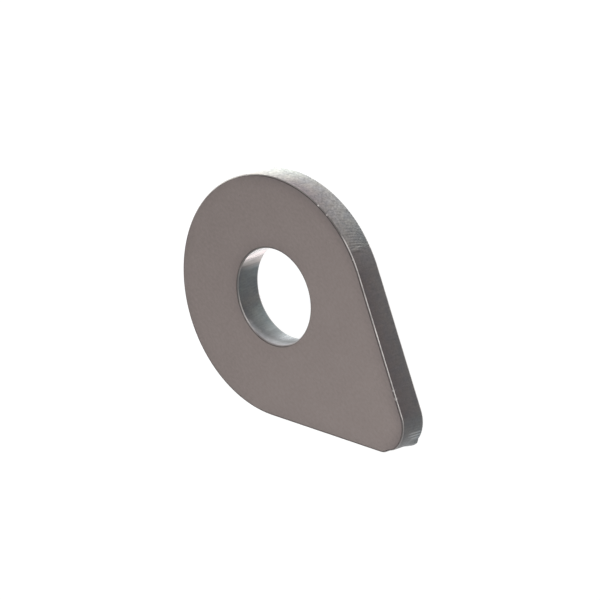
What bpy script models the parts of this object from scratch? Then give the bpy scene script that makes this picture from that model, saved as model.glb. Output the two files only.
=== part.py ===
"""Teardrop weld washer, cut from steel plate: one piece, with a round bolt hole in its head.

The washer lies flat on its underside. Units are metres and +Z is up. The origin is the
middle of its footprint, on the underside, and +X points along its length, to the tip.
"""

import math

import bmesh
import bpy

# Driving dimensions
HEAD_RADIUS = 0.01905
TIP_RADIUS = 0.00476
TIP_OFFSET = 0.02645
PLATE_THICKNESS = 0.00455
BOLT_DIAMETER = 0.01429
BOLT_CLEARANCE = 0.00081
EDGE_RADIUS = 0.00025

# How finely curves are drawn: how far a facet of an arc may lie inside it, and the facets round an edge
CHORD_ERROR = 0.000003
EDGE_SEGMENTS = 3

# Worked out from the driving dimensions
HOLE_RADIUS = (BOLT_DIAMETER + BOLT_CLEARANCE) / 2
LENGTH = HEAD_RADIUS + TIP_OFFSET + TIP_RADIUS
HEAD_X = HEAD_RADIUS - LENGTH / 2
TIP_X = HEAD_X + TIP_OFFSET
FLANK_ANGLE = math.acos((HEAD_RADIUS - TIP_RADIUS) / TIP_OFFSET)

# Pickled hot-rolled steel
STEEL_COLOUR = (0.30, 0.27, 0.255, 1.0)
STEEL_ROUGHNESS = 0.45
STEEL_METALLIC = 0.9

# Facets that meet at less than this are shaded as one smooth surface
SMOOTH_ANGLE = math.radians(40.0)


def clear_scene():
    for old in list(bpy.data.objects):
        bpy.data.objects.remove(old, do_unlink=True)


def steel_material():
    steel = bpy.data.materials.new("mild_steel")
    steel.use_nodes = True
    shader = steel.node_tree.nodes["Principled BSDF"]
    shader.inputs["Base Color"].default_value = STEEL_COLOUR
    shader.inputs["Roughness"].default_value = STEEL_ROUGHNESS
    shader.inputs["Metallic"].default_value = STEEL_METALLIC
    return steel


def arc(centre_x, radius, growth, start, end):
    """Points on an arc about a centre on the X axis, its ends and its middle among them.

    The arc is drawn larger than its radius by growth, but in as many steps as its radius
    asks for, so that an arc and its offsets match point for point.
    """
    widest_step = 2 * math.acos(1 - CHORD_ERROR / radius)
    steps = 2 * math.ceil((end - start) / (2 * widest_step))
    angles = [start + (end - start) * step / steps for step in range(steps + 1)]
    drawn = radius + growth
    return [(centre_x + drawn * math.cos(a), drawn * math.sin(a)) for a in angles]


def teardrop(inset):
    """The outline: the head's arc and the tip's arc, and between them the two flanks that touch both."""
    head = arc(HEAD_X, HEAD_RADIUS, -inset, FLANK_ANGLE, 2 * math.pi - FLANK_ANGLE)
    tip = arc(TIP_X, TIP_RADIUS, -inset, -FLANK_ANGLE, FLANK_ANGLE)
    return head + tip


def bolt_hole(inset):
    """The hole, on the head's own centre; its last point would repeat its first."""
    return arc(HEAD_X, HOLE_RADIUS, inset, 0.0, 2 * math.pi)[:-1]


def rim_profile():
    """Steps up a cut wall, each an inset into the metal and a height, round both of its edges."""
    turns = [math.pi / 2 * step / EDGE_SEGMENTS for step in range(EDGE_SEGMENTS + 1)]
    lower = [(EDGE_RADIUS * (1 - math.sin(t)), EDGE_RADIUS * (1 - math.cos(t))) for t in turns]
    upper = [(inset, PLATE_THICKNESS - height) for inset, height in reversed(lower)]
    return lower + upper


def closed_loop(bm, points, height):
    """Edges that join the points into one closed loop at that height."""
    corners = [bm.verts.new((x, y, height)) for x, y in points]
    return [bm.edges.new((corners[i - 1], corners[i])) for i in range(len(corners))]


def cut_wall(bm, outline):
    """The wall that the cut leaves along an outline, as its lowest and its highest loop."""
    loops = [closed_loop(bm, outline(inset), height) for inset, height in rim_profile()]
    for lower, upper in zip(loops, loops[1:]):
        bmesh.ops.bridge_loops(bm, edges=lower + upper)
    return loops[0], loops[-1]


def washer_mesh():
    """The two cut walls, and the plate's two faces between them."""
    bm = bmesh.new()
    outer_low, outer_high = cut_wall(bm, teardrop)
    hole_low, hole_high = cut_wall(bm, bolt_hole)
    bmesh.ops.triangle_fill(bm, edges=outer_low + hole_low, use_beauty=True)
    bmesh.ops.triangle_fill(bm, edges=outer_high + hole_high, use_beauty=True)
    bmesh.ops.recalc_face_normals(bm, faces=bm.faces)
    mesh = bpy.data.meshes.new("weld_washer")
    bm.to_mesh(mesh)
    bm.free()
    return mesh


def make_washer():
    washer = bpy.data.objects.new("weld_washer", washer_mesh())
    bpy.context.scene.collection.objects.link(washer)
    washer.data.materials.append(steel_material())
    washer.data.shade_smooth()
    washer.data.set_sharp_from_angle(angle=SMOOTH_ANGLE)


clear_scene()
make_washer()
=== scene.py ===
"""Visual model of a teardrop weld washer: a cut steel blank on a pale floor in soft light.

The washer is one piece of plate. Its outline and its bolt hole are cut walls that carry the
grooves of the cutting beam, and each wall turns into the plate's faces over a small radius.
Lengths are in metres, the angles of lights and camera in degrees, and power in watts.
"""

import logging
import math
from abc import ABC, abstractmethod
from dataclasses import dataclass, field
from enum import Enum

import bmesh
import bpy
from bmesh.types import BMEdge, BMesh, BMVert
from mathutils import Matrix, Vector, noise


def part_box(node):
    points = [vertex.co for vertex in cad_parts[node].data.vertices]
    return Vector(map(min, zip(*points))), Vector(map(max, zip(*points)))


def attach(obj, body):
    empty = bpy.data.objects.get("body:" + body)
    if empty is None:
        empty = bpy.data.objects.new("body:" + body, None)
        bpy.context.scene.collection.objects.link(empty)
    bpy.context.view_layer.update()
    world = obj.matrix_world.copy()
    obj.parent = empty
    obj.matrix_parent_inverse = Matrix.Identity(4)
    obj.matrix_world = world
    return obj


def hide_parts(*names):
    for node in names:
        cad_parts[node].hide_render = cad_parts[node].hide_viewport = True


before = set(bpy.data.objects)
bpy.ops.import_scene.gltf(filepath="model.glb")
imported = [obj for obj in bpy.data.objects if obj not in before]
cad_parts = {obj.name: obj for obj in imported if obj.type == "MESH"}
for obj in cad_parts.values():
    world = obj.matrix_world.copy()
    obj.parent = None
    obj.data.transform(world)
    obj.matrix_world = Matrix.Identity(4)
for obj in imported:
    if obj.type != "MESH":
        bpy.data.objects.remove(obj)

LOG = logging.getLogger("weld_washer")
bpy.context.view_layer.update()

NODE = "weld_washer"
BODY = "root"

MM = 0.001
UP = Vector((0.0, 0.0, 1.0))

Colour = tuple[float, float, float, float]


class Light(Enum):
    """Where a soft box stands."""

    HEAD_SIDE = "head_side"
    TIP_SIDE = "tip_side"
    FILL = "fill"
    FRONT = "front"
    OVERHEAD = "overhead"


class Quality(Enum):
    """What the mesh tells its material about each spot, as a float attribute."""

    EDGE = "edge"  # 0 on a face, 0.5 where the rim's rounding starts, 1 on a cut wall
    PALE = "pale"  # how pale the wall is: partly paler oxide, partly painted light where the wall is lit brighter
    WORN = "worn"  # how far handling has brightened the rim
    SCALE = "scale"  # how dark the rim's rounding turns: partly scale that the cut's heat left, partly painted shade
    POLISH_AND_HIGHLIGHT = "polish_and_highlight"  # how far the wall is rubbed down to bare metal, partly a painted highlight where it catches light
    SAND = "sand"  # how coarse the wall's grain is
    COOL = "cool"  # how far the wall's colour turns from warm to cool
    GROOVE = "groove"  # less than 0 in a groove of the cut, more than 0 on a ridge; it paints shade in grooves and highlights on ridges
    NEAR_CUT = "near_cut"  # how near the face is to the cut, across the band beside it that is darkened
    BAKED_AND_SHADED = "baked_and_shaded"  # how far the face beside the cut is darkened: partly heat tint, partly painted shade
    BARE = "bare"  # how far a dent has laid the metal bare


def ease(share: float) -> float:
    """Smooth step from 0 to 1, held at both ends."""
    held = min(1.0, max(0.0, share))
    return held * held * (3.0 - 2.0 * held)


def level_way(angle: float) -> Vector:
    """Unit vector level with the floor, at that angle from +X, in radians."""
    return Vector((math.cos(angle), math.sin(angle), 0.0))


def direction(azimuth: float, elevation: float) -> Vector:
    """Unit vector from the washer towards a place in the studio.

    Args:
        azimuth: Degrees about +Z, counted from +X.
        elevation: Degrees above the floor.

    Returns:
        The direction.
    """
    around, above = math.radians(azimuth), math.radians(elevation)
    level = math.cos(above)
    return Vector((level * math.cos(around), level * math.sin(around), math.sin(above)))


@dataclass(frozen=True)
class Place:
    """A place on a cut line: its distance along the line, and the way out of the metal there."""

    along: float
    out: Vector


class CutLine(ABC):
    """A closed line that the beam cuts along."""

    @property
    @abstractmethod
    def length(self) -> float:
        """Length of the whole line, in metres."""

    @abstractmethod
    def draw(self, bm: BMesh, step: float) -> list[BMEdge]:
        """Draws the line in the plane z = 0.

        Args:
            bm: The mesh to draw in.
            step: Longest edge, in metres.

        Returns:
            The line's edges.
        """

    @abstractmethod
    def locate(self, point: Vector) -> Place:
        """Finds the place on the line nearest to a point close to it.

        Args:
            point: A point in the washer's frame; its height doesn't count.

        Returns:
            The place.
        """


@dataclass(frozen=True)
class HoleLine(CutLine):
    """The bolt hole's circle, counted from the side nearest to the tip."""

    centre_x: float
    radius: float

    @property
    def length(self) -> float:
        """Length of the whole line, in metres."""
        return 2.0 * math.pi * self.radius

    def draw(self, bm: BMesh, step: float) -> list[BMEdge]:
        """Draws the circle in the plane z = 0.

        Args:
            bm: The mesh to draw in.
            step: Longest edge, in metres.

        Returns:
            The circle's edges.
        """
        turned = Matrix.Translation((self.centre_x, 0.0, 0.0))
        circle = bmesh.ops.create_circle(
            bm, segments=math.ceil(self.length / step), radius=self.radius, matrix=turned
        )
        return list({edge for vert in circle["verts"] for edge in vert.link_edges})

    def locate(self, point: Vector) -> Place:
        """Finds the place on the circle nearest to a point close to it.

        Args:
            point: A point in the washer's frame; its height doesn't count.

        Returns:
            The place; the way out of the metal is inwards, to the hole's axis.
        """
        angle = math.atan2(point.y, point.x - self.centre_x)
        return Place(along=self.radius * (angle % (2.0 * math.pi)), out=-level_way(angle))


@dataclass(frozen=True)
class TeardropLine(CutLine):
    """The outline: a head arc and a tip arc, and two straight flanks that touch both.

    It is counted from the middle of the tip, towards +Y.
    """

    head_x: float
    head_radius: float
    tip_x: float
    tip_radius: float

    @property
    def flank_angle(self) -> float:
        """Angle between +X and the upper flank's way out, in radians."""
        return math.acos((self.head_radius - self.tip_radius) / (self.tip_x - self.head_x))

    @property
    def flank_length(self) -> float:
        """Length of one straight flank, in metres."""
        return (self.tip_x - self.head_x) * math.sin(self.flank_angle)

    @property
    def tip_length(self) -> float:
        """Length of half the tip's arc, in metres."""
        return self.tip_radius * self.flank_angle

    @property
    def head_sweep(self) -> float:
        """Angle that the head's arc covers, in radians."""
        return 2.0 * (math.pi - self.flank_angle)

    @property
    def length(self) -> float:
        """Length of the whole line, in metres."""
        arcs = self.head_radius * self.head_sweep + self.tip_radius * 2.0 * self.flank_angle
        return arcs + 2.0 * self.flank_length

    def _arc(self, bm: BMesh, start: BMVert, centre_x: float, sweep: float, step: float) -> BMVert:
        """Spins a vertex into an arc.

        Args:
            bm: The mesh to draw in.
            start: The arc's first vertex.
            centre_x: Where on the X axis the arc's centre is.
            sweep: Angle that the arc covers, in radians.
            step: Longest edge, in metres.

        Returns:
            The arc's last vertex.
        """
        radius = (start.co - Vector((centre_x, 0.0, 0.0))).length
        spun = bmesh.ops.spin(
            bm,
            geom=[start],
            cent=(centre_x, 0.0, 0.0),
            axis=UP,
            angle=sweep,
            steps=math.ceil(radius * sweep / step),
            use_duplicate=False,
        )
        return next(item for item in spun["geom_last"] if isinstance(item, BMVert))

    def draw(self, bm: BMesh, step: float) -> list[BMEdge]:
        """Draws the outline in the plane z = 0: the head's arc, a flank, the tip's arc, a flank.

        Args:
            bm: The mesh to draw in.
            step: Longest edge, in metres.

        Returns:
            The outline's edges.
        """
        before = set(bm.edges)
        way_out = level_way(self.flank_angle)
        first = bm.verts.new(Vector((self.head_x, 0.0, 0.0)) + way_out * self.head_radius)
        head_end = self._arc(bm, first, self.head_x, self.head_sweep, step)

        tip_start = bmesh.ops.extrude_vert_indiv(bm, verts=[head_end])["verts"][0]
        way_out.y = -way_out.y
        tip_start.co = Vector((self.tip_x, 0.0, 0.0)) + way_out * self.tip_radius
        tip_end = self._arc(bm, tip_start, self.tip_x, 2.0 * self.flank_angle, step)

        lower = next(edge for edge in head_end.link_edges if edge.other_vert(head_end) == tip_start)
        upper = bm.edges.new((tip_end, first))
        cuts = math.ceil(self.flank_length / step) - 1
        bmesh.ops.subdivide_edges(bm, edges=[lower, upper], cuts=cuts)
        return [edge for edge in bm.edges if edge not in before]

    def point_at(self, along: float) -> Vector:
        """Point on the outline's upper half.

        Args:
            along: Distance from the middle of the tip, in metres, up to half the outline's length.

        Returns:
            The point, in the plane z = 0.
        """
        past_tip = along - self.tip_length
        if past_tip < 0.0:
            angle = along / self.tip_radius
            centre_x, radius = self.tip_x, self.tip_radius
        elif past_tip < self.flank_length:
            angle, share = self.flank_angle, past_tip / self.flank_length
            centre_x = self.tip_x + (self.head_x - self.tip_x) * share
            radius = self.tip_radius + (self.head_radius - self.tip_radius) * share
        else:
            angle = self.flank_angle + (past_tip - self.flank_length) / self.head_radius
            centre_x, radius = self.head_x, self.head_radius
        return Vector((centre_x + radius * math.cos(angle), radius * math.sin(angle), 0.0))

    def locate(self, point: Vector) -> Place:
        """Finds the place on the outline nearest to a point close to it.

        Args:
            point: A point in the washer's frame; its height doesn't count.

        Returns:
            The place.
        """
        side = 1.0 if point.y >= 0.0 else -1.0
        angle = math.atan2(abs(point.y), point.x - self.head_x)
        run = Vector((math.sin(self.flank_angle), -math.cos(self.flank_angle), 0.0))
        mirrored = Vector((point.x - self.head_x, abs(point.y), 0.0))
        down_flank = mirrored.dot(run)
        if down_flank <= 0.0:
            out = level_way(angle)
            along = self.tip_length + self.flank_length + self.head_radius * (angle - self.flank_angle)
        elif down_flank < self.flank_length:
            out = level_way(self.flank_angle)
            along = self.tip_length + self.flank_length - down_flank
        else:
            angle = math.atan2(abs(point.y), point.x - self.tip_x)
            out = level_way(angle)
            along = self.tip_radius * angle
        out.y *= side
        return Place(along=along if side > 0.0 else (self.length - along) % self.length, out=out)


@dataclass(frozen=True)
class AlongCut:
    """A quality of the cut that changes along its line, by smooth steps between its knots.

    Each knot is a distance along the line, in millimetres, and the value there.
    """

    knots: tuple[tuple[float, float], ...]

    def at(self, along: float, length: float) -> float:
        """Value at a place on the line.

        Args:
            along: Distance along the line, in metres.
            length: Length of the whole line, in metres.

        Returns:
            The value, the same at both ends of the closed line.
        """
        last_place, last_value = self.knots[-1]
        before = (last_place - length / MM, last_value)
        first_place, first_value = self.knots[0]
        after = (first_place + length / MM, first_value)
        place = along / MM
        loop = (before, *self.knots, after)
        for (low, low_value), (high, high_value) in zip(loop, loop[1:]):
            if low <= place <= high:
                return low_value + (high_value - low_value) * ease((place - low) / (high - low))
        return last_value


@dataclass(frozen=True)
class BeamGrooves:
    """The beam's grooves: shallow near the top face, deep and dragged back towards the underside."""

    strength: AlongCut
    drag: AlongCut
    pitch: float = 0.5 * MM
    top_depth: float = 0.006 * MM
    bottom_depth: float = 0.020 * MM
    coarse: float = 0.9  # waves of that pitch
    fine: float = 0.6  # waves of half that pitch
    fine_turn: float = 1.1
    fine_wander: float = 3.0
    wander: float = 3.2
    wander_size: float = 1.3 * MM
    patch_size: float = 2.1 * MM
    patch_level: float = 0.75
    patch_swing: float = 0.9
    top_share: float = 0.35
    deepening: float = 1.6
    seed: float = 3.0
    patch_shift: float = 9.0

    def wave(self, line: CutLine, place: Place, point: Vector, height: float) -> float:
        """Height of the grooves' pattern, less than 0 in a groove.

        Args:
            line: The line that was cut; a whole number of grooves goes round it.
            place: The place on it.
            point: The point on the wall.
            height: Share of the thickness, 0 at the underside and 1 at the top face.

        Returns:
            The pattern, between about -1 and 1 where the strength is 1.
        """
        below = 1.0 - height
        count = round(line.length / self.pitch)
        dragged = place.along + self.drag.at(place.along, line.length) * MM * below * below
        layer = self.seed + self.patch_shift
        drift = noise.noise(Vector((point.x / self.wander_size, point.y / self.wander_size, self.seed)))
        patch = noise.noise(Vector((point.x / self.patch_size, point.y / self.patch_size, layer)))
        turn = 2.0 * math.pi * count * dragged / line.length + self.wander * drift
        fine = self.fine * math.sin(2.0 * turn + self.fine_turn + self.fine_wander * patch)
        wave = self.coarse * math.sin(turn) + fine
        deep = self.top_share + (1.0 - self.top_share) * ease(self.deepening * below)
        patchy = self.patch_level + self.patch_swing * patch
        return wave * deep * patchy * self.strength.at(place.along, line.length)

    def height_of(self, wave: float, height: float) -> float:
        """How far the pattern lifts the wall there, in metres."""
        return wave * (self.top_depth + (self.bottom_depth - self.top_depth) * (1.0 - height))


@dataclass(frozen=True)
class TipMark:
    """What the start and end of the cut leave at the tip: a scallop in the wall and a bead below it."""

    scallop_at: float = -2.7 * MM
    scallop_half_width: float = 1.5 * MM
    scallop_depth: float = 0.26 * MM
    scallop_height: float = 0.70
    scallop_fullness: float = 1.15
    bead_at: float = -1.05 * MM
    bead_rise: float = 0.95 * MM
    bead_tail: float = 2.3 * MM
    bead_size: float = 0.34 * MM
    bead_height: float = 0.55
    bead_power: float = 1.5

    def depth(self, along: float, height: float) -> float:
        """How far the mark cuts into the wall.

        Args:
            along: Distance from the middle of the tip, less than 0 towards -Y.
            height: Share of the thickness, 0 at the underside and 1 at the top face.

        Returns:
            Depth into the metal, in metres, less than 0 on the bead.
        """
        near = 1.0 - abs(along - self.scallop_at) / self.scallop_half_width
        level = 1.0 - abs(height - self.scallop_height) / self.scallop_height
        scallop = self.scallop_depth * ease(near) * ease(level * self.scallop_fullness)
        reach = self.bead_rise if along > self.bead_at else self.bead_tail
        swell = 1.0 - abs(along - self.bead_at) / reach
        sink = 1.0 - height / self.bead_height
        bead = self.bead_size * ease(swell) * max(0.0, sink) ** self.bead_power
        return scallop - bead


@dataclass(frozen=True)
class Ridge:
    """A ridge with a painted highlight along its crest, or a furrow with painted shade where both its
    sizes are less than 0.
    """

    along: float
    size: float = 0.018 * MM
    width: float = 0.24 * MM
    low: float = 0.0
    high: float = 0.7
    drag: float = 0.15 * MM
    # How much painted highlight the crest gets, or painted shade in a furrow where less than 0
    gleam: float = 4.2
    fullness: float = 2.0

    def swell(self, along: float, height: float) -> float:
        """How near a place is to the ridge's crest.

        Args:
            along: Distance along the line, in metres.
            height: Share of the thickness, 0 at the underside and 1 at the top face.

        Returns:
            From 0 beside the ridge to 1 on its crest.
        """
        crest = self.along - self.drag * (1.0 - height) ** 2
        near = 1.0 - abs(along - crest) / self.width
        middle, half = (self.low + self.high) / 2.0, (self.high - self.low) / 2.0
        level = 1.0 - abs(height - middle) / half
        return ease(near) * ease(level * self.fullness)


@dataclass(frozen=True)
class Nick:
    """A small dent that handling leaves in the top rim, with bright bare metal in it."""

    along: float
    length: float = 0.24 * MM
    width: float = 0.20 * MM
    depth: float = 0.03 * MM
    gleam: float = 1.0


@dataclass(frozen=True)
class WallRing:
    """One loop of a cut wall: how far into the metal it lies, how high, and how far round the rim.

    The last is 0 on the face, 0.5 where the rim's rounding starts and 1 on the wall.
    """

    inset: float
    height: float
    edge: float


@dataclass
class CutWall:
    """A cut wall with both of its rounded rims, grown ring by ring from its line.

    Its qualities hold at the top face; those named in lower turn into these values at the underside.
    """

    name: str
    line: CutLine
    thickness: float
    edge_radius: float
    grooves: BeamGrooves
    qualities: dict[Quality, AlongCut]
    lower: dict[Quality, AlongCut]
    ridges: tuple[Ridge, ...] = ()
    tip_mark: TipMark | None = None
    step: float = 0.06 * MM
    rim_steps: int = 6
    wall_steps: int = 8
    shoulders: tuple[float, float] = (0.25 * MM, 0.04 * MM)
    darkened_band: float = 2.6 * MM

    def rings(self) -> list[WallRing]:
        """Works out the wall's loops.

        Returns:
            The loops from the underside up; the first and the last lie in the plate's faces.
        """
        far, near = self.shoulders
        lower = [
            WallRing(self.edge_radius + self.darkened_band, 0.0, 0.0),
            WallRing(self.edge_radius + far, 0.0, 0.0),
            WallRing(self.edge_radius + near, 0.0, 0.5 * (1.0 - near / far)),
        ]
        for step in range(self.rim_steps + 1):
            share = step / self.rim_steps
            angle = share * math.pi / 2.0
            inset = self.edge_radius * (1.0 - math.sin(angle))
            lower.append(WallRing(inset, self.edge_radius * (1.0 - math.cos(angle)), 0.5 + share / 2.0))
        upper = [
            WallRing(ring.inset, self.thickness - ring.height, ring.edge) for ring in reversed(lower)
        ]
        low, high = lower[-1].height, upper[0].height
        between = [
            WallRing(0.0, low + (high - low) * step / self.wall_steps, 1.0)
            for step in range(1, self.wall_steps)
        ]
        return lower + between + upper

    def grow(self, bm: BMesh) -> tuple[list[BMEdge], list[BMEdge]]:
        """Extrudes the line into the wall.

        Args:
            bm: The mesh to grow in, with a float layer for each quality.

        Returns:
            The lowest loop's edges and the highest loop's.
        """
        edge_layer = bm.verts.layers.float[Quality.EDGE.value]
        near_cut_layer = bm.verts.layers.float[Quality.NEAR_CUT.value]
        wall_layer = bm.verts.layers.int[self.name]
        rings = self.rings()
        loop = self.line.draw(bm, self.step)
        lowest = loop
        for number, ring in enumerate(rings):
            if number:
                grown = bmesh.ops.extrude_edge_only(bm, edges=loop)["geom"]
                fresh = {item for item in grown if isinstance(item, BMVert)}
                edges = (item for item in grown if isinstance(item, BMEdge))
                loop = [edge for edge in edges if fresh.issuperset(edge.verts)]
            shift = (rings[number - 1].inset if number else 0.0) - ring.inset
            for vert in {vert for edge in loop for vert in edge.verts}:
                vert.co += self.line.locate(vert.co).out * shift
                vert.co.z = ring.height
                vert[edge_layer] = ring.edge
                vert[near_cut_layer] = 1.0 - max(0.0, ring.inset - self.edge_radius) / self.darkened_band
                vert[wall_layer] = 1
        return lowest, loop


@dataclass
class WasherBlank:
    """The washer itself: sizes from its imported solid, and the marks that cutting and handling left."""

    low: Vector
    high: Vector
    tip_radius: float = 4.76 * MM
    hole_radius: float = 7.55 * MM
    edge_radius: float = 0.25 * MM
    tip_mark: TipMark = field(default_factory=TipMark)
    nicks: tuple[Nick, ...] = (
        Nick(39.50 * MM, length=0.26 * MM, depth=0.015 * MM, gleam=0.28),
        Nick(37.42 * MM, length=0.22 * MM, depth=0.015 * MM, gleam=0.28),
        Nick(29.40 * MM, length=0.20 * MM, gleam=0.6),
        Nick(8.86 * MM, length=0.28 * MM, width=0.24 * MM),
        Nick(7.54 * MM, length=0.42 * MM, width=0.24 * MM),
    )

    @property
    def thickness(self) -> float:
        """Thickness of the plate, in metres."""
        return self.high.z - self.low.z

    @property
    def outline(self) -> TeardropLine:
        """The outline's line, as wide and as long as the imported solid."""
        head_radius = (self.high.y - self.low.y) / 2.0
        return TeardropLine(
            head_x=self.low.x + head_radius,
            head_radius=head_radius,
            tip_x=self.high.x - self.tip_radius,
            tip_radius=self.tip_radius,
        )

    @property
    def hole(self) -> HoleLine:
        """The bolt hole's line, on the head's centre."""
        return HoleLine(centre_x=self.outline.head_x, radius=self.hole_radius)

    def _outline_wall(self) -> CutWall:
        """Describes the cut wall round the outline.

        Returns:
            The wall; its qualities are counted from the middle of the tip.
        """
        striae = AlongCut((
            (0, 0.6), (2.6, 0.5), (4.5, 0.15), (24, 0.15), (30, 0.6), (31.4, 2.3), (34.5, 2.1),
            (37, 0.9), (39.5, 0.6), (42, 0.7), (44.5, 1), (48, 0.5), (70, 0.6), (104, 0.4), (132, 0.4),
        ))
        drag = AlongCut(((0, 0.15), (5, 0.4), (26, 1.1), (60, 1.2), (100, 1.1), (128, 0.4)))
        qualities = {
            # Paleness along the outline: partly oxide, partly painted light, palest on the head's arc
            # where the light falls most
            Quality.PALE: AlongCut((
                (0, 0.14), (3.3, 0.16), (5.2, 0.02), (27, 0.01), (28.4, 0.08), (30.3, 0.08),
                (30.9, 0.25), (34.6, 0.22), (37.2, 0.16), (42.2, 0), (45.2, 0), (48.5, 0.28), (51, 0.6),
                (58.5, 0.6), (76, 0.1), (104.4, 0.1), (105, 0), (130.6, 0),
            )),
            Quality.WORN: AlongCut((
                (0, 0.2), (3.4, 0.55), (4.6, 0.85), (9, 0.85), (16, 1), (25, 0.85), (31.6, 0.95),
                (34, 0), (101, 0), (104, 0.9), (130.6, 0.9), (132.4, 0.2),
            )),
            # Dark band on the rim's rounding: partly scale, partly painted shade
            Quality.SCALE: AlongCut((
                (0, 0.1), (3.6, 0.1), (4.8, 0.5), (27, 0.6), (31, 1.2), (36, 1.45), (50, 1.65),
                (58, 0.4), (130, 0.4),
            )),
            # Rubbed metal, partly a painted highlight
            Quality.POLISH_AND_HIGHLIGHT: AlongCut(((0, 0), (50, 0), (56, 0.15), (80, 0))),
            Quality.SAND: AlongCut((
                (0, 0.5), (4, 0.3), (24, 0.3), (30, 0.45), (31.5, 0.8), (38, 1), (56, 1), (78, 0.45),
                (105, 0.3), (132, 0.3),
            )),
            Quality.COOL: AlongCut((
                (0, 0.6), (3.3, 0.5), (5.5, 0.1), (30.8, 0), (36, 0.2), (44, 0.25), (52, 0), (104, 0),
            )),
            # Darkening of the face beside the cut: partly heat tint, partly painted shade
            Quality.BAKED_AND_SHADED: AlongCut((
                (0, 1.1), (4.8, 1.1), (10, 0.75), (27, 0.6), (32, 0.9), (50, 1), (58, 0.3), (132, 0.3),
            )),
        }
        lower = {
            # Paler towards the underside: partly oxide, partly painted light
            Quality.PALE: AlongCut((
                (0, 0.34), (3.3, 0.26), (5.2, 0.14), (30.3, 0.2), (31, 0.38), (34.6, 0.32), (39.9, 0.3),
                (42.5, 0.34), (45.2, 0.48), (48.5, 0.8), (51, 0.92), (58.5, 0.9), (76, 0.25),
                (104.4, 0.25), (105, 0.14), (130.6, 0.14),
            )),
            Quality.COOL: AlongCut((
                (0, 0.9), (5.5, 0.5), (28, 0.3), (31.4, 0.6), (46, 0.3), (104, 0.2),
            )),
        }
        furrow, lean = -0.01 * MM, -0.2 * MM
        # Ridges carry a painted highlight on their crests and furrows painted shade, besides their relief
        ridges = (
            Ridge(0.48 * MM, high=0.55, gleam=8.0),
            Ridge(1.06 * MM, width=0.27 * MM, gleam=11.0),
            Ridge(1.58 * MM, high=0.75, gleam=9.0),
            Ridge(30.22 * MM, furrow, width=0.38 * MM, low=0.5, high=0.95, drag=0.0, gleam=-2.2),
            Ridge(30.85 * MM, width=0.20 * MM, low=0.35, high=1.0, drag=lean, gleam=3.2),
            Ridge(31.12 * MM, furrow, width=0.18 * MM, low=0.35, high=0.95, drag=lean, gleam=-2.0),
        )
        return CutWall(
            name="outline_wall",
            line=self.outline,
            thickness=self.thickness,
            edge_radius=self.edge_radius,
            grooves=BeamGrooves(striae, drag),
            qualities=qualities,
            lower=lower,
            ridges=ridges,
            tip_mark=self.tip_mark,
        )

    def _hole_wall(self) -> CutWall:
        """Describes the cut wall round the bolt hole.

        Returns:
            The wall; its qualities are counted from the side nearest to the tip.
        """
        striae = AlongCut(((0, 0.5), (19, 0.6), (24, 0.8), (26, 0.45), (40, 0.5)))
        drag = AlongCut(((0, 0.8), (24, 0.9)))
        qualities = {
            # Paleness round the hole: partly oxide, partly painted light
            Quality.PALE: AlongCut((
                (0, 0.5), (10, 0.6), (19, 0.6), (24, 0.6), (25.9, 0.16), (29, 0.3), (30.3, 0.28),
                (32, 0.16), (34.3, 0.12), (36.9, 0.04), (39.5, 0), (42, 0.02),
            )),
            Quality.WORN: AlongCut((
                (0, 0), (24.2, 0), (25.2, 0.35), (28.5, 0.5), (30.8, 0.95), (32.6, 0.9), (35, 0.2),
                (36.5, 0), (40, 0),
            )),
            # Dark band on the rim's rounding: partly scale, partly painted shade
            Quality.SCALE: AlongCut((
                (0, 0.3), (18, 0.5), (22.6, 0.6), (24.2, 0.45), (25.4, 0), (28, 0.05), (30, 0.15),
                (32, 0.55), (35.5, 1), (37.5, 1.6), (42, 1.4), (45, 0.4),
            )),
            # Rubbed metal, partly a painted highlight: the bright patch on the hole's wall
            Quality.POLISH_AND_HIGHLIGHT: AlongCut((
                (0, 0), (17, 0.1), (19.5, 1), (23, 1), (23.7, 0.46), (24.4, 0.2), (25.2, 0), (32.5, 0),
                (34.3, 0.06), (36.9, 0.02), (39.5, 0), (42.2, 0.05), (44, 0),
            )),
            Quality.SAND: AlongCut(((0, 0.5), (24, 0.5), (26, 0.3), (35, 0.35), (40, 0.5))),
            # Darkening of the face beside the hole: partly heat tint, partly painted shade
            Quality.BAKED_AND_SHADED: AlongCut(((0, 0.1), (18, 0.5), (24, 0.7), (36, 0.4), (38, 0.1))),
            Quality.COOL: AlongCut((
                (0, 0.4), (19, 0.4), (21.4, 0.35), (23, 0), (24.8, 0), (26.2, 0.9), (28.8, 0.9),
                (30.6, 0.4), (36, 0.6), (41, 0.6),
            )),
        }
        lower = {
            # Paler towards the underside: partly oxide, partly painted light where the hole's lower wall
            # is lit
            Quality.PALE: AlongCut((
                (0, 0.5), (19, 0.7), (24.4, 0.8), (26.2, 0.52), (29, 0.26), (30.8, 0.34), (32.9, 0.8),
                (34.5, 0.85), (36.9, 0.75), (39.5, 0.6), (42, 0.7),
            )),
            Quality.COOL: AlongCut((
                (0, 0.4), (19, 0.4), (21.4, 0.35), (23, 0.05), (24.8, 0), (26.2, 0.9), (28.8, 0.9),
                (30.6, 0.5), (33, 0.8), (41, 0.8),
            )),
            # Towards the underside, rubbed metal that is partly a painted highlight brightening the lower
            # wall
            Quality.POLISH_AND_HIGHLIGHT: AlongCut((
                (0, 0), (17, 0.1), (19.5, 1), (23, 0.9), (23.8, 0.55), (24.6, 0.42), (25.4, 0.2),
                (26.4, 0), (32, 0.01), (34.3, 0.1), (36.9, 0.33), (39.5, 0.75), (42.2, 0.3), (44, 0),
            )),
        }
        return CutWall(
            name="hole_wall",
            line=self.hole,
            thickness=self.thickness,
            edge_radius=self.edge_radius,
            grooves=BeamGrooves(striae, drag, top_depth=0.004 * MM, bottom_depth=0.009 * MM, seed=41.0),
            qualities=qualities,
            lower=lower,
        )

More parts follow.
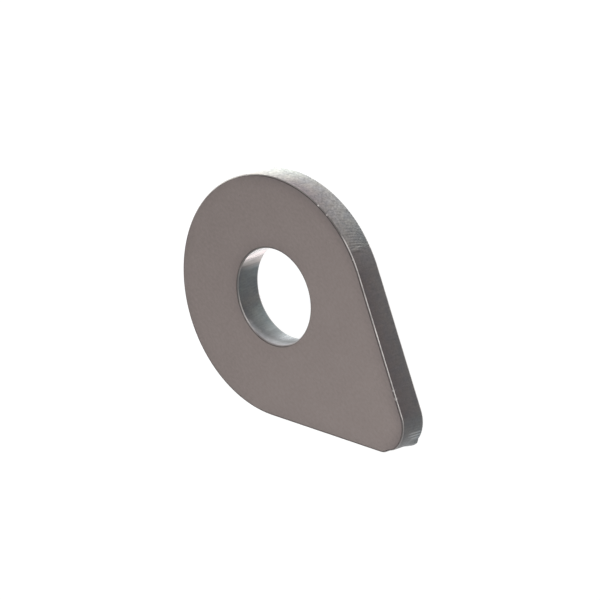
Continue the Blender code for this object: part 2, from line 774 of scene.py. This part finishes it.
    def _mark(self, bm: BMesh, wall: CutWall) -> None:
        """Gives one wall's vertices their qualities and moves them to carry its grooves and marks.

        Args:
            bm: The washer's mesh.
            wall: The wall.
        """
        layers = bm.verts.layers.float
        edge, groove = layers[Quality.EDGE.value], layers[Quality.GROOVE.value]
        mine = bm.verts.layers.int[wall.name]
        length = wall.line.length
        for vert in bm.verts:
            if not vert[mine]:
                continue
            place = wall.line.locate(vert.co)
            height = vert.co.z / self.thickness
            for quality, along_cut in wall.qualities.items():
                value = along_cut.at(place.along, length)
                if quality in wall.lower:
                    value += (wall.lower[quality].at(place.along, length) - value) * (1.0 - height)
                vert[layers[quality.value]] = value
            wave = wall.grooves.wave(wall.line, place, vert.co, height)
            lift = wall.grooves.height_of(wave, height)
            for ridge in wall.ridges:
                swell = ridge.swell(place.along, height)
                # Ridges add a painted highlight to the colour, furrows painted shade
                wave += ridge.gleam * swell
                lift += ridge.size * swell
            vert[groove] = wave
            on_wall = ease(2.0 * vert[edge] - 1.0)
            lift *= on_wall
            if wall.tip_mark:
                signed = place.along if place.along < length / 2.0 else place.along - length
                lift -= wall.tip_mark.depth(signed, height)
            vert.co += place.out * lift

    def _nick(self, bm: BMesh) -> None:
        """Presses the dents into the top rim.

        Args:
            bm: The washer's mesh.
        """
        bare = bm.verts.layers.float[Quality.BARE.value]
        for nick in self.nicks:
            centre = self.outline.point_at(nick.along)
            out = self.outline.locate(centre).out
            run = UP.cross(out)
            push = (out + UP).normalized()
            centre.z = self.high.z
            centre -= (out + UP) * self.edge_radius * (1.0 - math.cos(math.pi / 4.0))
            for vert in bm.verts:
                offset = vert.co - centre
                if offset.length > nick.length + nick.width:
                    continue
                down_run = offset.dot(run)
                aside = (offset - run * down_run).length
                near = ease(1.0 - math.hypot(down_run / nick.length, aside / nick.width))
                vert.co -= push * nick.depth * near
                vert[bare] = max(vert[bare], nick.gleam * near)

    def _unwrap(self, bm: BMesh, walls: list[CutWall]) -> None:
        """Gives every cut face its place along the cut and its height, in millimetres, as a UV map.

        Args:
            bm: The washer's mesh.
            walls: Its two cut walls.
        """
        uv = bm.loops.layers.uv.new("cut")
        for wall in walls:
            mine = bm.verts.layers.int[wall.name]
            length = wall.line.length
            for face in bm.faces:
                if not all(vert[mine] for vert in face.verts):
                    continue
                alongs = [wall.line.locate(loop.vert.co).along for loop in face.loops]
                wraps = max(alongs) - min(alongs) > length / 2.0
                for loop, along in zip(face.loops, alongs):
                    if wraps and along < length / 2.0:
                        along += length
                    loop[uv].uv = (along / MM, loop.vert.co.z / MM)

    def build(self) -> bpy.types.Object:
        """Models the washer.

        Returns:
            Its object, at the origin, with no finish yet.
        """
        bm = bmesh.new()
        walls = [self._outline_wall(), self._hole_wall()]
        for quality in Quality:
            bm.verts.layers.float.new(quality.value)
        for wall in walls:
            bm.verts.layers.int.new(wall.name)
        (outline_low, outline_high), (hole_low, hole_high) = (wall.grow(bm) for wall in walls)
        for wall in walls:
            self._mark(bm, wall)
        self._nick(bm)
        self._unwrap(bm, walls)
        bmesh.ops.triangle_fill(bm, edges=outline_low + hole_low, use_beauty=True)
        bmesh.ops.triangle_fill(bm, edges=outline_high + hole_high, use_beauty=True)
        bmesh.ops.recalc_face_normals(bm, faces=bm.faces)
        mesh = bpy.data.meshes.new(NODE)
        bm.to_mesh(mesh)
        bm.free()
        mesh.shade_smooth()
        washer = bpy.data.objects.new("washer_blank", mesh)
        bpy.context.scene.collection.objects.link(washer)
        LOG.info("washer_blank: %d vertices, %d faces", len(mesh.vertices), len(mesh.polygons))
        return washer


class Signal:
    """A shader socket that Python's own operators work on."""

    def __init__(self, sheet: "NodeSheet", socket: bpy.types.NodeSocket) -> None:
        """Wraps one output socket of a node on the sheet."""
        self.sheet = sheet
        self.socket = socket

    def _math(self, operation: str, first: "Signal | float", second: "Signal | float") -> "Signal":
        """Adds one Math node."""
        return self.sheet.add("ShaderNodeMath", {"operation": operation}, {0: first, 1: second})

    def __add__(self, other: "Signal | float") -> "Signal":
        """Sum."""
        return self._math("ADD", self, other)

    def __radd__(self, other: float) -> "Signal":
        """Sum, with the number first."""
        return self._math("ADD", other, self)

    def __sub__(self, other: "Signal | float") -> "Signal":
        """Difference."""
        return self._math("SUBTRACT", self, other)

    def __rsub__(self, other: float) -> "Signal":
        """Difference, with the number first."""
        return self._math("SUBTRACT", other, self)

    def __mul__(self, other: "Signal | float") -> "Signal":
        """Product."""
        return self._math("MULTIPLY", self, other)

    def __rmul__(self, other: float) -> "Signal":
        """Product, with the number first."""
        return self._math("MULTIPLY", other, self)


class NodeSheet:
    """A material's nodes, with one method that adds any of them."""

    def __init__(self, name: str) -> None:
        """Starts a material with no nodes.

        Args:
            name: The material's name.
        """
        self.material = bpy.data.materials.new(name)
        self.material.use_nodes = True
        self.tree = self.material.node_tree
        self.tree.nodes.clear()

    def add(
        self,
        kind: str,
        settings: dict[str, object],
        inputs: dict[int | str, object],
        output: int | str = 0,
    ) -> Signal:
        """Adds a node.

        Args:
            kind: The node's type.
            settings: Its own settings; "stops" gives a colour ramp's positions and colours.
            inputs: Values and links of its sockets, by name or number.
            output: The output to return.

        Returns:
            The chosen output, or the first input of a node that has no output.
        """
        node = self.tree.nodes.new(kind)
        for name, value in settings.items():
            if name == "stops":
                self._set_stops(node.color_ramp, value)
            else:
                setattr(node, name, value)
        for socket, value in inputs.items():
            if isinstance(value, Signal):
                self.tree.links.new(value.socket, node.inputs[socket])
            else:
                node.inputs[socket].default_value = value
        return Signal(self, node.outputs[output] if len(node.outputs) else node.inputs[0])

    def _set_stops(self, ramp: bpy.types.ColorRamp, stops: list[tuple[float, float]]) -> None:
        """Sets a ramp's stops.

        Args:
            ramp: The ramp.
            stops: The stops, each a position and a grey level.
        """
        while len(ramp.elements) > 1:
            ramp.elements.remove(ramp.elements[-1])
        for number, (position, level) in enumerate(stops):
            element = ramp.elements[0] if number == 0 else ramp.elements.new(position)
            element.position = position
            element.color = (level, level, level, 1.0)

    def ramp(self, signal: Signal, stops: list[tuple[float, float]]) -> Signal:
        """A grey level that follows the signal through the stops."""
        return self.add("ShaderNodeValToRGB", {"stops": stops}, {"Fac": signal})

    def blend(
        self, factor: Signal | float, first: Signal | Colour, second: Signal | Colour, how: str = "MIX"
    ) -> Signal:
        """Mixes two colours in one of the Mix node's ways."""
        settings = {"data_type": "RGBA", "blend_type": how}
        return self.add("ShaderNodeMix", settings, {0: factor, 6: first, 7: second}, 2)

    def scale(self, vector: Signal, factor: Signal | float) -> Signal:
        """Multiplies a colour or a vector by a number."""
        return self.add("ShaderNodeVectorMath", {"operation": "SCALE"}, {0: vector, "Scale": factor})

    def held(self, first: Signal | float, second: Signal | float) -> Signal:
        """Product, held between 0 and 1."""
        settings = {"operation": "MULTIPLY", "use_clamp": True}
        return self.add("ShaderNodeMath", settings, {0: first, 1: second})

    def grain(self, coordinates: Signal, per_mm: float, detail: float = 3.0, rough: float = 0.5) -> Signal:
        """Noise with that many grains to the millimetre."""
        inputs = {"Vector": coordinates, "Scale": per_mm, "Detail": detail, "Roughness": rough}
        return self.add("ShaderNodeTexNoise", {}, inputs, "Fac")

    def shade(self, inputs: dict[int | str, object]) -> bpy.types.Material:
        """Ends the sheet with its one shader.

        Args:
            inputs: The shader's values and links, by name.

        Returns:
            The finished material.
        """
        shader = self.add("ShaderNodeBsdfPrincipled", {}, inputs)
        self.add("ShaderNodeOutputMaterial", {}, {"Surface": shader})
        return self.material


@dataclass(frozen=True)
class CutSteelFinish:
    """Pickled hot-rolled steel, with oxide on its cut walls and rims that handling has brightened, and
    painted light and shade on walls, rims and the face beside the cut.
    """

    face_colour: Colour = (0.323, 0.278, 0.263, 1.0)
    face_shade: Colour = (0.273, 0.233, 0.222, 1.0)
    heat_and_shade_tint: Colour = (0.79, 0.79, 0.81, 1.0)
    wall_dark: Colour = (0.078, 0.062, 0.063, 1.0)
    wall_pale: Colour = (0.288, 0.301, 0.276, 1.0)
    cool_tint: Colour = (0.84, 1.03, 1.12, 1.0)
    brown_tint: Colour = (1.045, 0.985, 0.96, 1.0)
    violet_tint: Colour = (0.98, 0.975, 1.01, 1.0)
    polish_and_highlight_warm: Colour = (1.0, 0.885, 0.88, 1.0)
    polish_and_highlight_cool: Colour = (0.84, 0.94, 0.98, 1.0)
    rim_oxide: Colour = (0.42, 0.385, 0.37, 1.0)
    rim_colour: Colour = (0.76, 0.72, 0.70, 1.0)
    scale_and_shade_colour: Colour = (0.055, 0.048, 0.045, 1.0)
    pit_colour: Colour = (0.14, 0.12, 0.11, 1.0)
    steel_roughness: float = 0.45
    polish_roughness: float = 0.12
    dull_rim_roughness: float = 0.80
    worn_rim_roughness: float = 0.32
    specular: float = 0.35
    rolling: tuple[float, float, float] = (0.75, 1.0, 1.0)
    streaking: tuple[float, float, float] = (1.0, 0.10, 1.0)
    cloud_share: float = 0.2
    pit_cells_per_mm: float = 0.16
    pit_strength: float = 0.5
    blotch_swing: float = 0.24
    grit_strength: float = 1.9
    streak_strength: float = 0.50
    groove_strength: float = 0.13
    rim_oxide_strength: float = 0.42
    scale_and_shade_strength: float = 0.58
    polish_and_highlight_level: float = 1.05
    polish_and_highlight_streaks: float = 1.6
    bare_gain: float = 1.4
    mottle_roughness: float = 0.10
    relief_height: float = 0.03 * MM

    def make(self) -> bpy.types.Material:
        """Builds the material.

        Returns:
            The material; it reads Object coordinates, the UV map "cut" and the mesh's qualities.
        """
        sheet = NodeSheet("cut_steel")
        place = sheet.add("ShaderNodeTexCoord", {}, {}, "Object")
        mm = sheet.scale(place, 1.0 / MM)
        rolled = sheet.add("ShaderNodeMapping", {}, {"Vector": mm, "Scale": self.rolling})
        cut = sheet.add("ShaderNodeUVMap", {"uv_map": "cut"}, {})
        streaked = sheet.add("ShaderNodeMapping", {}, {"Vector": cut, "Scale": self.streaking})
        edge, pale, worn, scale_and_shade, polish_and_highlight, sand, cool, groove, near_cut, baked_and_shaded, bare = (
            sheet.add("ShaderNodeAttribute", {"attribute_name": quality.value}, {}, "Fac")
            for quality in Quality
        )

        # Grains, from clouds to specks
        cloud = sheet.grain(mm, per_mm=0.22, detail=2.0)
        patch = sheet.grain(mm, per_mm=0.8, detail=2.0)
        mottle = sheet.grain(rolled, per_mm=2.2, detail=4.0, rough=0.6)
        grit = sheet.grain(mm, per_mm=2.5, rough=0.65)
        streak = sheet.grain(streaked, per_mm=3.4, detail=4.0, rough=0.65)
        speck = sheet.grain(mm, per_mm=5.0, rough=0.6)

        # Zones from the face to the wall
        wall = sheet.ramp(edge, [(0.92, 0.0), (0.99, 1.0)])
        off_face = sheet.ramp(edge, [(0.52, 0.0), (0.62, 1.0)])
        dull_rim = sheet.ramp(edge, [(0.50, 1.0), (0.70, 1.0), (0.90, 0.0)])
        scale_and_shade_worn = sheet.ramp(edge, [(0.42, 0.0), (0.54, 1.0), (0.71, 1.0), (0.80, 0.0)])
        scale_and_shade_dull = sheet.ramp(edge, [(0.42, 0.0), (0.54, 1.0), (0.83, 1.0), (0.95, 0.0)])
        # Dark band on the rim's rounding: partly scale, partly painted shade
        scale = scale_and_shade * (scale_and_shade_dull + worn * (scale_and_shade_worn - scale_and_shade_dull))
        rim = sheet.ramp(edge, [(0.72, 0.0), (0.79, 1.0), (0.97, 1.0), (1.0, 0.0)])
        shine = sheet.held(worn * rim, sheet.ramp(patch, [(0.35, 0.75), (0.60, 1.0)]))
        shine = shine + sheet.held(bare, self.bare_gain) * (1.0 - shine)
        # Rubbed bright metal, partly a painted highlight
        bright = sheet.held(polish_and_highlight * wall, self.polish_and_highlight_level + (streak - 0.5) * self.polish_and_highlight_streaks)

        # The face: mottled, with pits, and darker beside the cut: partly heat tint, partly painted shade
        mixed = cloud * self.cloud_share + mottle * (1.0 - self.cloud_share)
        face_mix = sheet.ramp(mixed, [(0.34, 0.0), (0.66, 1.0)])
        face = sheet.blend(face_mix, self.face_shade, self.face_colour)
        hollow = sheet.add("ShaderNodeTexVoronoi", {}, {"Vector": mm, "Scale": self.pit_cells_per_mm})
        pit = sheet.ramp(hollow, [(0.012, 1.0), (0.020, 0.0)])
        face = sheet.blend(pit * self.pit_strength, face, self.pit_colour)
        # Darker beside the cut: partly heat tint, partly painted shade
        face = sheet.blend(near_cut * near_cut * baked_and_shaded, face, self.heat_and_shade_tint, "MULTIPLY")

        # The wall: oxide from dark to pale and from warm to cool, paler partly by painted light, with
        # painted shade in grooves, painted highlights on ridges, and rubbed bright metal that is partly a
        # painted highlight
        blotch = sheet.ramp(patch, [(0.35, 0.0), (0.65, 1.0)])
        blotchy = (1.0 - self.blotch_swing / 2.0) + blotch * self.blotch_swing
        # Oxide from dark to pale, where the pale end is partly painted light
        side = sheet.blend(pale * blotchy, self.wall_dark, self.wall_pale)
        side = sheet.blend(cool, side, self.cool_tint, "MULTIPLY")
        side = sheet.blend(1.0, side, sheet.blend(blotch, self.violet_tint, self.brown_tint), "MULTIPLY")
        tone = 1.0 + sand * (grit - 0.5) * self.grit_strength + (streak - 0.5) * self.streak_strength
        # Darker in grooves and lighter on ridges: partly streaked oxide, partly painted shade and painted
        # highlight
        tone = tone + groove * self.groove_strength
        side = sheet.blend(dull_rim * self.rim_oxide_strength, sheet.scale(side, tone), self.rim_oxide)
        # Warm or cool bright metal where rubbed, partly a painted highlight
        side = sheet.blend(bright, side, sheet.blend(cool, self.polish_and_highlight_warm, self.polish_and_highlight_cool))
        colour = sheet.blend(off_face, face, side)
        # Paints the rim's dark band: partly scale, partly painted shade
        colour = sheet.blend(scale * self.scale_and_shade_strength, colour, self.scale_and_shade_colour)
        colour = sheet.blend(shine, colour, self.rim_colour)

        # Roughness and bare metal
        rim_band = sheet.ramp(edge, [(0.40, 0.0), (0.50, 1.0), (0.93, 1.0), (0.99, 0.0)])
        rim_change = self.worn_rim_roughness - self.dull_rim_roughness
        rim_roughness = self.dull_rim_roughness + shine * rim_change
        roughness = self.steel_roughness + (mottle - 0.5) * self.mottle_roughness
        roughness = roughness + bright * (self.polish_roughness - self.steel_roughness)
        roughness = roughness + rim_band * (rim_roughness - roughness)
        metallic = (1.0 - off_face) + shine + bright

        # Fine relief
        face_relief = (speck + mottle) * 0.2 - pit * 0.6
        wall_relief = streak * 0.4 + speck * 0.5 + sand * grit * 1.2
        relief = face_relief + wall * (wall_relief - face_relief)
        bump = {"Strength": 1.0, "Distance": self.relief_height, "Height": relief}
        normal = sheet.add("ShaderNodeBump", {}, bump)
        inputs = {
            "Base Color": colour,
            "Roughness": roughness,
            "Metallic": metallic,
            "Normal": normal,
            "Specular IOR Level": self.specular,
        }
        return sheet.shade(inputs)


@dataclass(frozen=True)
class PaleFloorFinish:
    """A sheet of white acrylic, lit from below as on a product photographer's table."""

    colour: Colour = (0.12, 0.12, 0.12, 1.0)
    roughness: float = 0.95
    specular: float = 0.1
    glow_colour: Colour = (1.0, 1.0, 1.0, 1.0)
    glow: float = 0.99

    def make(self) -> bpy.types.Material:
        """Builds the material.

        Returns:
            The material, the same all over.
        """
        sheet = NodeSheet("pale_floor")
        inputs = {
            "Base Color": self.colour,
            "Roughness": self.roughness,
            "Specular IOR Level": self.specular,
            "Emission Color": self.glow_colour,
            "Emission Strength": self.glow,
        }
        return sheet.shade(inputs)


@dataclass(frozen=True)
class SoftBox:
    """A rectangular soft light that faces the washer."""

    light: Light
    azimuth: float
    elevation: float
    power: float
    width: float = 0.28
    height: float = 0.065
    distance: float = 0.5

    def hang(self, aim: Vector) -> bpy.types.Object:
        """Adds the light.

        Args:
            aim: The point that it faces.

        Returns:
            The light's object.
        """
        data = bpy.data.lights.new(self.light.value, "AREA")
        data.shape = "RECTANGLE"
        data.size = self.width
        data.size_y = self.height
        data.energy = self.power
        box = bpy.data.objects.new(self.light.value, data)
        towards = direction(self.azimuth, self.elevation)
        box.location = aim + towards * self.distance
        box.rotation_euler = towards.to_track_quat("Z", "Y").to_euler()
        box.visible_camera = False
        bpy.context.scene.collection.objects.link(box)
        LOG.info("%s: %.2f W at %.2f m", self.light.value, self.power, self.distance)
        return box


@dataclass(frozen=True)
class StudioCamera:
    """The camera: far off with a long lens, looking down on the washer, and turned on its side."""

    aim: Vector = field(default_factory=lambda: Vector((-3.17, 1.63, 2.275)) * MM)
    azimuth: float = 60.07
    elevation: float = 43.35
    roll: float = -108.77
    distance: float = 1.8099
    lens: float = 720.0
    sensor: float = 36.0

    def set_up(self) -> bpy.types.Object:
        """Adds the camera and makes it the scene's own.

        Returns:
            The camera's object.
        """
        data = bpy.data.cameras.new("studio_camera")
        data.lens = self.lens
        data.sensor_width = self.sensor
        camera = bpy.data.objects.new("studio_camera", data)
        back = direction(self.azimuth, self.elevation)
        level = back.to_track_quat("Z", "Y").to_matrix().to_4x4()
        turned = level @ Matrix.Rotation(math.radians(self.roll), 4, "Z")
        camera.matrix_world = Matrix.Translation(self.aim + back * self.distance) @ turned
        bpy.context.scene.collection.objects.link(camera)
        bpy.context.scene.camera = camera
        LOG.info("studio_camera: %.0f mm lens at %.2f m", self.lens, self.distance)
        return camera


@dataclass
class Studio:
    """The pale floor, the soft light and the camera round the washer."""

    floor_width: float = 5.0
    floor_drop: float = 0.02 * MM
    sky: Colour = (1.0, 1.0, 1.0, 1.0)
    sky_strength: float = 0.12
    boxes: tuple[SoftBox, ...] = (
        SoftBox(Light.HEAD_SIDE, azimuth=150.0, elevation=4.5, power=7.1),
        SoftBox(Light.TIP_SIDE, azimuth=300.0, elevation=4.5, power=1.7),
        SoftBox(Light.FILL, azimuth=255.0, elevation=50.0, power=0.338, height=0.20),
        SoftBox(
            Light.FRONT, azimuth=60.0, elevation=18.0, power=0.75, width=0.50, height=0.40, distance=0.8
        ),
        SoftBox(Light.OVERHEAD, azimuth=60.0, elevation=89.0, power=0.35, width=0.40, height=0.40),
    )
    camera: StudioCamera = field(default_factory=StudioCamera)

    def lay_floor(self) -> bpy.types.Object:
        """Adds the floor, a hair under the washer.

        Returns:
            The floor's object.
        """
        bm = bmesh.new()
        lowered = Matrix.Translation((0.0, 0.0, -self.floor_drop))
        bmesh.ops.create_grid(bm, x_segments=1, y_segments=1, size=self.floor_width / 2.0, matrix=lowered)
        mesh = bpy.data.meshes.new("pale_floor")
        bm.to_mesh(mesh)
        bm.free()
        mesh.materials.append(PaleFloorFinish().make())
        floor = bpy.data.objects.new("pale_floor", mesh)
        bpy.context.scene.collection.objects.link(floor)
        LOG.info("pale_floor: %.1f m wide", self.floor_width)
        return floor

    def light_up(self) -> None:
        """Sets the even light all round and hangs the soft boxes."""
        world = bpy.data.worlds.new("studio_sky")
        bpy.context.scene.world = world
        world.use_nodes = True
        background = world.node_tree.nodes["Background"]
        background.inputs["Color"].default_value = self.sky
        background.inputs["Strength"].default_value = self.sky_strength
        for box in self.boxes:
            box.hang(self.camera.aim)

    def build(self) -> None:
        """Sets up the whole studio."""
        self.lay_floor()
        self.light_up()
        self.camera.set_up()
        bpy.context.scene.view_settings.view_transform = "Standard"


def main() -> None:
    """Builds the washer and the studio, in order."""
    logging.basicConfig(level=logging.INFO, format="%(name)s: %(message)s")
    low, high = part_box(NODE)
    blank = WasherBlank(Vector(low), Vector(high))
    washer = blank.build()
    washer.data.materials.append(CutSteelFinish().make())
    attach(washer, BODY)
    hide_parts(NODE)
    Studio().build()


if __name__ == "__main__":
    main()
